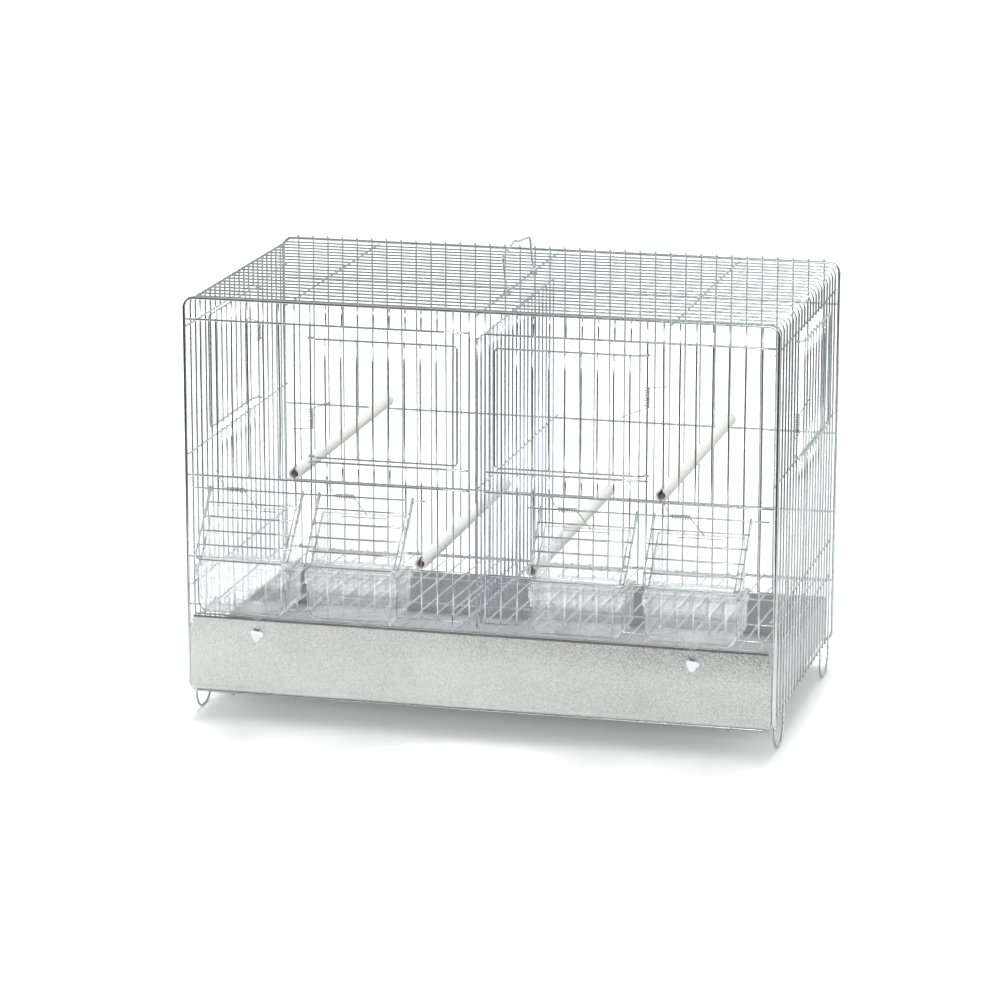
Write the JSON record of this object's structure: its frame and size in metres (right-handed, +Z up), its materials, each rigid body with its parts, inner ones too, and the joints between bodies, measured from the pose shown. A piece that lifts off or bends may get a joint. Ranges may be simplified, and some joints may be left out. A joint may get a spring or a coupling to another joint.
{
  "type": "breeding cage",
  "caption": "Welded wire breeding cage for small birds with sprung doors and flaps, hanging feeders, perches, a sliding wire divider and a slide-out tray.",
  "frame": {"origin": "centre of the plan outline, on the floor under the feet", "axes": "+X along the width to the right seen from the front, -Y is the front, +Z up"},
  "size_m": [0.567, 0.41, 0.4381],
  "materials": {
    "zinc_wire": "bright zinc plated, glossy",
    "blue_zinc_wire": "blue zinc plated, glossy",
    "spring_steel": "drawn wire",
    "galvanised_sheet": "galvanised sheet, fine speckle",
    "clear_plastic": "clear moulded",
    "milky_plastic": "ribbed, slightly translucent",
    "pale_blue_plastic": "moulded"
  },
  "bodies": {
    "cage": {"front_frame": "zinc_wire", "rear_frame": "zinc_wire", "roof_panel": "zinc_wire", "right_side_panel": "zinc_wire", "left_side_panel": "zinc_wire", "back_panel": "zinc_wire", "front_left_panel": "zinc_wire", "front_right_panel": "zinc_wire", "tray_rails": "zinc_wire", "front_left_door_spring": "spring_steel", "front_right_door_spring": "spring_steel", "right_side_door_spring": "spring_steel", "left_side_door_spring": "spring_steel", "flap_1_spring": "spring_steel", "flap_2_spring": "spring_steel", "flap_3_spring": "spring_steel", "flap_4_spring": "spring_steel"},
    "front_left_door": {"front_left_door": "zinc_wire"},
    "front_right_door": {"front_right_door": "zinc_wire"},
    "right_side_door": {"right_side_door": "zinc_wire"},
    "left_side_door": {"left_side_door": "zinc_wire"},
    "flap_1": {"flap_1": "zinc_wire"},
    "flap_2": {"flap_2": "zinc_wire"},
    "flap_3": {"flap_3": "zinc_wire"},
    "flap_4": {"flap_4": "zinc_wire"},
    "feeder_1": {"feeder_1": "clear_plastic"},
    "feeder_2": {"feeder_2": "clear_plastic"},
    "feeder_3": {"feeder_3": "clear_plastic"},
    "feeder_4": {"feeder_4": "clear_plastic"},
    "perch_1": {"perch_1": "milky_plastic"},
    "perch_2": {"perch_2": "milky_plastic"},
    "perch_3": {"perch_3": "milky_plastic"},
    "perch_4": {"perch_4": "milky_plastic"},
    "tray": {"tray": "galvanised_sheet", "clip_left": "pale_blue_plastic", "clip_right": "pale_blue_plastic"},
    "floor_grid": {"floor_grid": "blue_zinc_wire"},
    "divider": {"divider": "blue_zinc_wire"},
    "handle": {"handle": "zinc_wire"}
  },
  "joints": [
    {"name": "front_left_door_hinge", "type": "hinge", "parent": "cage", "child": "front_left_door", "pos_m": [-0.1575, -0.11435, 0.312], "axis": [0, 0, -1], "range_deg": [0, 110], "stiffness_Nm_per_rad": 0.012, "springref_deg": -34.38, "deforming": ["front_left_door_spring"]},
    {"name": "front_right_door_hinge", "type": "hinge", "parent": "cage", "child": "front_right_door", "pos_m": [0.1575, -0.11435, 0.312], "axis": [0, 0, 1], "range_deg": [0, 110], "stiffness_Nm_per_rad": 0.012, "springref_deg": -34.38, "deforming": ["front_right_door_spring"]},
    {"name": "right_side_door_hinge", "type": "hinge", "parent": "cage", "child": "right_side_door", "pos_m": [0.2763, -0.0111, 0.312], "axis": [0, 0, -1], "range_deg": [0, 110], "stiffness_Nm_per_rad": 0.012, "springref_deg": -34.38, "deforming": ["right_side_door_spring"]},
    {"name": "left_side_door_hinge", "type": "hinge", "parent": "cage", "child": "left_side_door", "pos_m": [-0.2763, 0.1089, 0.312], "axis": [0, 0, -1], "range_deg": [0, 110], "stiffness_Nm_per_rad": 0.012, "springref_deg": -34.38, "deforming": ["left_side_door_spring"]},
    {"name": "feeder_1_slide", "type": "slide", "parent": "cage", "child": "feeder_1", "axis": [0, -1, 0], "range_m": [0, 0.04]},
    {"name": "flap_1_hinge", "type": "hinge", "parent": "cage", "child": "flap_1", "pos_m": [-0.21, -0.1164, 0.221], "axis": [-1, 0, 0], "range_deg": [0, 61], "stiffness_Nm_per_rad": 0.006, "springref_deg": -22.92, "deforming": ["flap_1_spring"]},
    {"name": "feeder_2_slide", "type": "slide", "parent": "cage", "child": "feeder_2", "axis": [0, -1, 0], "range_m": [0, 0.04]},
    {"name": "flap_2_hinge", "type": "hinge", "parent": "cage", "child": "flap_2", "pos_m": [-0.105, -0.1164, 0.221], "axis": [-1, 0, 0], "range_deg": [0, 61], "stiffness_Nm_per_rad": 0.006, "springref_deg": -22.92, "deforming": ["flap_2_spring"]},
    {"name": "feeder_3_slide", "type": "slide", "parent": "cage", "child": "feeder_3", "axis": [0, -1, 0], "range_m": [0, 0.04]},
    {"name": "flap_3_hinge", "type": "hinge", "parent": "cage", "child": "flap_3", "pos_m": [0.105, -0.1164, 0.221], "axis": [-1, 0, 0], "range_deg": [0, 61], "stiffness_Nm_per_rad": 0.006, "springref_deg": -22.92, "deforming": ["flap_3_spring"]},
    {"name": "feeder_4_slide", "type": "slide", "parent": "cage", "child": "feeder_4", "axis": [0, -1, 0], "range_m": [0, 0.04]},
    {"name": "flap_4_hinge", "type": "hinge", "parent": "cage", "child": "flap_4", "pos_m": [0.21, -0.1164, 0.221], "axis": [-1, 0, 0], "range_deg": [0, 61], "stiffness_Nm_per_rad": 0.006, "springref_deg": -22.92, "deforming": ["flap_4_spring"]},
    {"name": "perch_1_lift", "type": "slide", "parent": "cage", "child": "perch_1", "axis": [0, 0, 1], "range_m": [0, 0.03]},
    {"name": "perch_2_lift", "type": "slide", "parent": "cage", "child": "perch_2", "axis": [0, 0, 1], "range_m": [0, 0.03]},
    {"name": "perch_3_lift", "type": "slide", "parent": "cage", "child": "perch_3", "axis": [0, 0, 1], "range_m": [0, 0.03]},
    {"name": "perch_4_lift", "type": "slide", "parent": "cage", "child": "perch_4", "axis": [0, 0, 1], "range_m": [0, 0.03]},
    {"name": "tray_slide", "type": "slide", "parent": "cage", "child": "tray", "axis": [0, -1, 0], "range_m": [0, 0.29]},
    {"name": "floor_grid_slide", "type": "slide", "parent": "cage", "child": "floor_grid", "axis": [0, -1, 0], "range_m": [0, 0.29]},
    {"name": "divider_slide", "type": "slide", "parent": "cage", "child": "divider", "axis": [0, -1, 0], "range_m": [0, 0.3]},
    {"name": "handle_hinge", "type": "hinge", "parent": "cage", "child": "handle", "pos_m": [0, 0.0489, 0.3966], "axis": [0, 1, 0], "range_deg": [-75, 87]}
  ],
  "couplings": [
    {"joint": "flap_1_hinge", "follows": "feeder_1_slide", "rad_per_m": 26.18},
    {"joint": "flap_2_hinge", "follows": "feeder_2_slide", "rad_per_m": 26.18},
    {"joint": "flap_3_hinge", "follows": "feeder_3_slide", "rad_per_m": 26.18},
    {"joint": "flap_4_hinge", "follows": "feeder_4_slide", "rad_per_m": 26.18},
    {"joint": "floor_grid_slide", "follows": "tray_slide", "ratio": 1}
  ]
}
